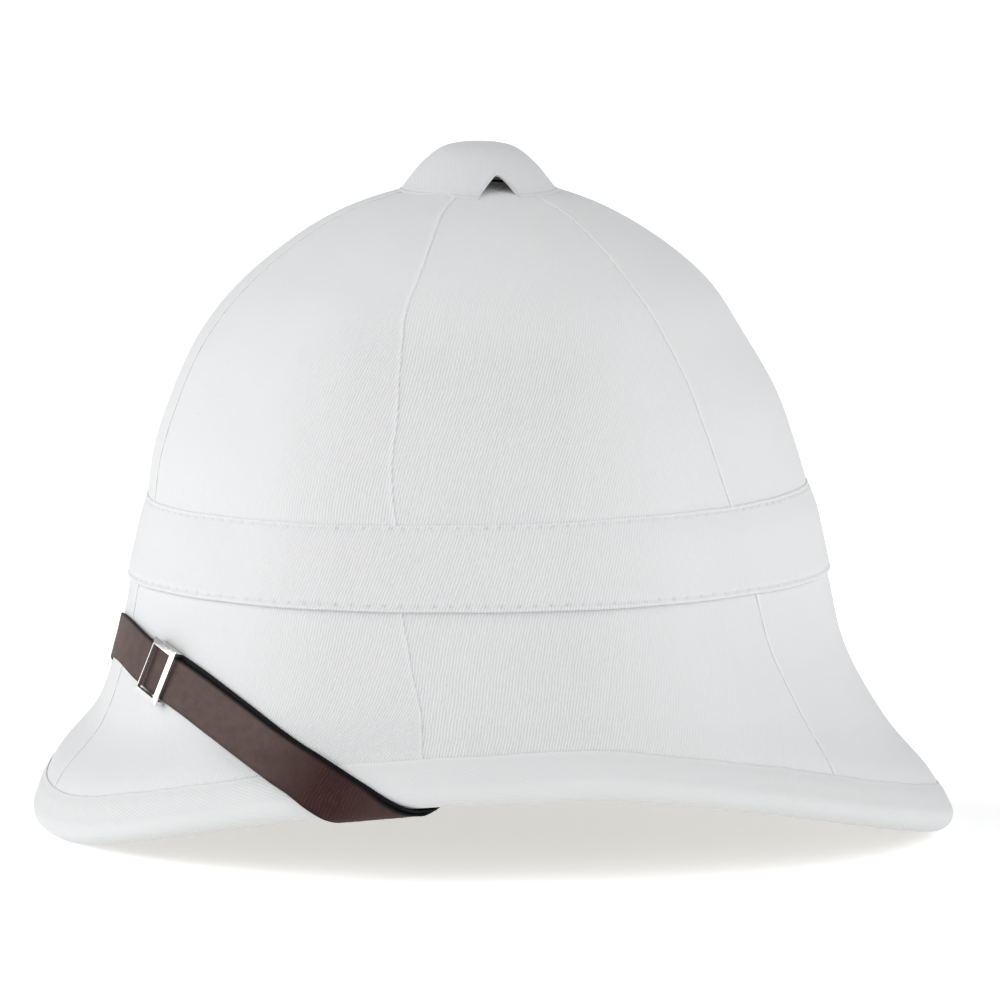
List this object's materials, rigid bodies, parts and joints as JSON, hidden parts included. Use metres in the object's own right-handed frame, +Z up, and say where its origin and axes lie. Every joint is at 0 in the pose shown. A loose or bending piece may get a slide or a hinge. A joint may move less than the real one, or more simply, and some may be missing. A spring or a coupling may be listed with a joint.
{
  "type": "pith helmet",
  "caption": "Tall domed sun helmet with a sloping brim all round, cloth gores, a plain band, a ventilator cap and a leather chin strap stowed over the front brim.",
  "frame": {"origin": "on the floor, midway between the sides and between the front and back ends of the brim", "axes": "+Z up as the helmet rests on its brim, -Y towards the front, +X towards the wearer's left"},
  "size_m": [0.2668, 0.3322, 0.2445],
  "materials": {
    "white_twill": "white cotton twill, matte",
    "white_binding": "white cotton bias tape, matte",
    "moulded_shell": "moulded cork and cloth, plain matte",
    "brown_leather": "dark brown leather, satin, black edges",
    "nickel_plate": "polished nickel plate"
  },
  "bodies": {
    "root": {"cover_panel_front_left": "white_twill", "cover_panel_side_left": "white_twill", "cover_panel_back_left": "white_twill", "cover_panel_back_right": "white_twill", "cover_panel_side_right": "white_twill", "cover_panel_front_right": "white_twill", "puggaree_band": "white_twill", "rim_binding": "white_binding", "ventilator_cap": "white_twill", "shell_body": "moulded_shell", "chin_strap": "brown_leather", "chin_strap_underlay": "brown_leather", "strap_slide": "nickel_plate", "strap_stud_left": "nickel_plate", "strap_stud_right": "nickel_plate"}
  },
  "joints": []
}
